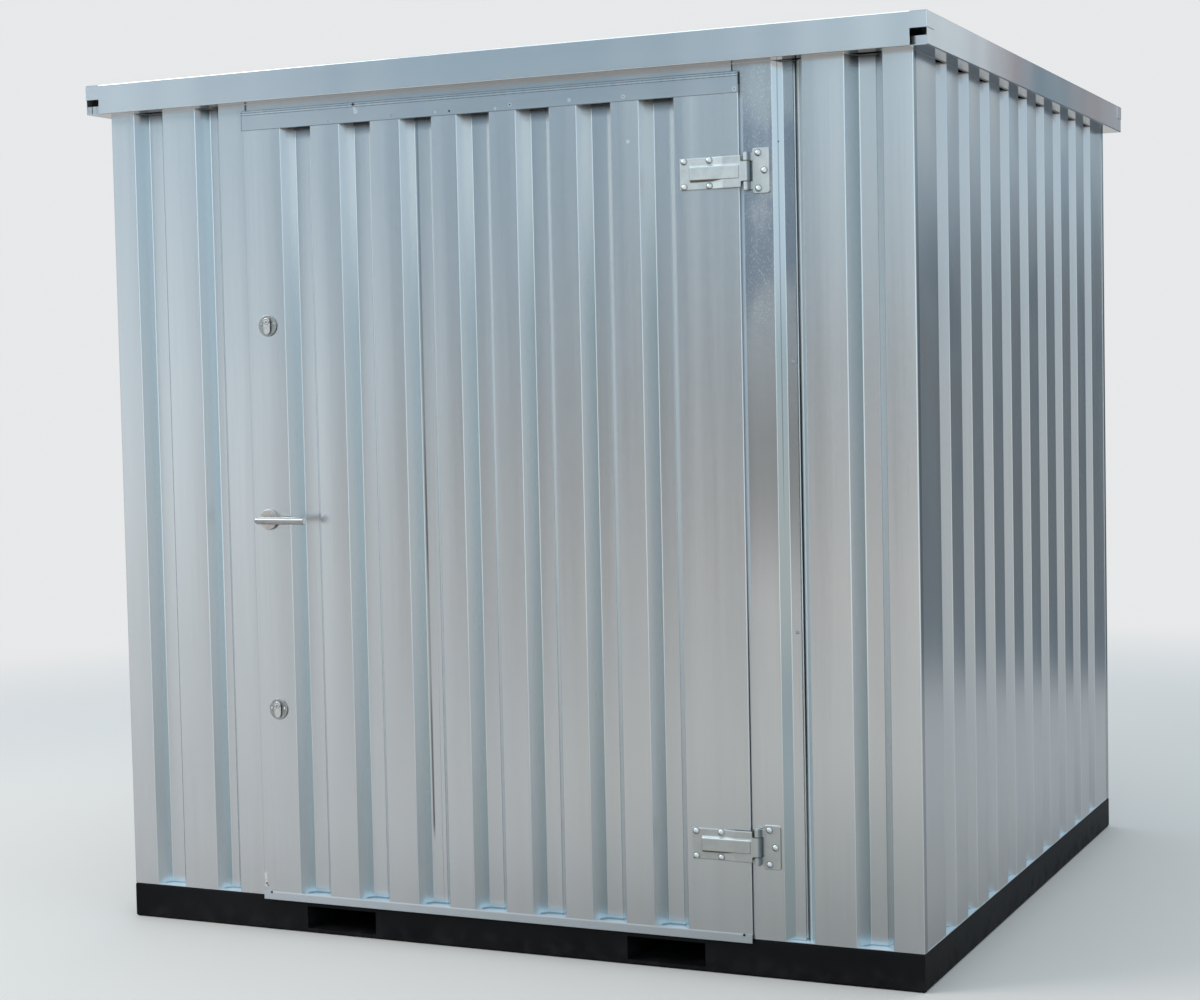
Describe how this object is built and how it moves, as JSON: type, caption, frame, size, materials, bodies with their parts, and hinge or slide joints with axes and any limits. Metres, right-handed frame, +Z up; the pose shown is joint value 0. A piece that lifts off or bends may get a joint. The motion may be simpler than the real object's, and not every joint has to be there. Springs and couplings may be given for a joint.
{
  "type": "storage container",
  "caption": "Walk-in storage container of folded corrugated galvanised sheet on a black steel base frame with fork pockets, with a hinged door, lever handle and covered keyholes.",
  "frame": {"origin": "on the ground under the middle of the base frame, in the underside of the middle joist", "axes": "+X to the right seen from in front of the door, +Y from the door wall to the rear wall, +Z up"},
  "size_m": [2.269, 2.1035, 2.2],
  "materials": {
    "galvanised": "hot-dip galvanised sheet",
    "black_paint": "black paint",
    "zinc_hardware": "zinc plated hardware",
    "handle_metal": "satin metal",
    "plywood": "film-faced plywood"
  },
  "bodies": {
    "shell": {"base_front_rail": "black_paint", "base_rear_rail": "black_paint", "base_left_rail": "black_paint", "base_right_rail": "black_paint", "fork_pocket_left": "black_paint", "fork_pocket_right": "black_paint", "floor_joists": "black_paint", "floor_board_left": "plywood", "floor_board_right": "plywood", "foot_rails": "galvanised", "head_rails": "galvanised", "front_left_panel": "galvanised", "front_right_panel": "galvanised", "left_door_post": "galvanised", "right_door_post": "galvanised", "door_header": "galvanised", "right_wall_front_panel": "galvanised", "right_wall_rear_panel": "galvanised", "left_wall_front_panel": "galvanised", "left_wall_rear_panel": "galvanised", "rear_right_panel": "galvanised", "rear_middle_panel": "galvanised", "rear_left_panel": "galvanised", "roof_fascia_front": "galvanised", "roof_fascia_rear": "galvanised", "roof_fascia_left": "galvanised", "roof_fascia_right": "galvanised", "roof_tray_left": "galvanised", "roof_tray_middle": "galvanised", "roof_tray_right": "galvanised", "roof_beams": "galvanised", "hinge_plates": "zinc_hardware", "hinge_pins": "zinc_hardware"},
    "door": {"door_sheet_left": "galvanised", "door_sheet_right": "galvanised", "door_top_strip": "galvanised", "door_bottom_channel": "galvanised", "door_stiles": "galvanised", "door_crossbars": "galvanised", "hinge_straps": "zinc_hardware", "handle_rose": "handle_metal", "key_roses": "handle_metal"},
    "handle": {"handle_lever": "handle_metal"},
    "upper_cover": {"upper_key_cover": "handle_metal"},
    "lower_cover": {"lower_key_cover": "handle_metal"}
  },
  "joints": [
    {"name": "door_hinge", "type": "hinge", "parent": "shell", "child": "door", "pos_m": [0.692, -1.0055, 1.093], "axis": [0, 0, 1], "range_deg": [0, 135]},
    {"name": "handle_turn", "type": "hinge", "parent": "door", "child": "handle", "pos_m": [-0.626, -1.0525, 1.066], "axis": [0, 1, 0], "range_deg": [0, 45], "stiffness_Nm_per_rad": 1.5, "springref_deg": -34.38},
    {"name": "upper_cover_swing", "type": "hinge", "parent": "door", "child": "upper_cover", "pos_m": [-0.615, -1.009, 1.57], "axis": [0, 1, 0], "range_deg": [-95, 95]},
    {"name": "lower_cover_swing", "type": "hinge", "parent": "door", "child": "lower_cover", "pos_m": [-0.615, -1.009, 0.588], "axis": [0, 1, 0], "range_deg": [-95, 95]}
  ]
}
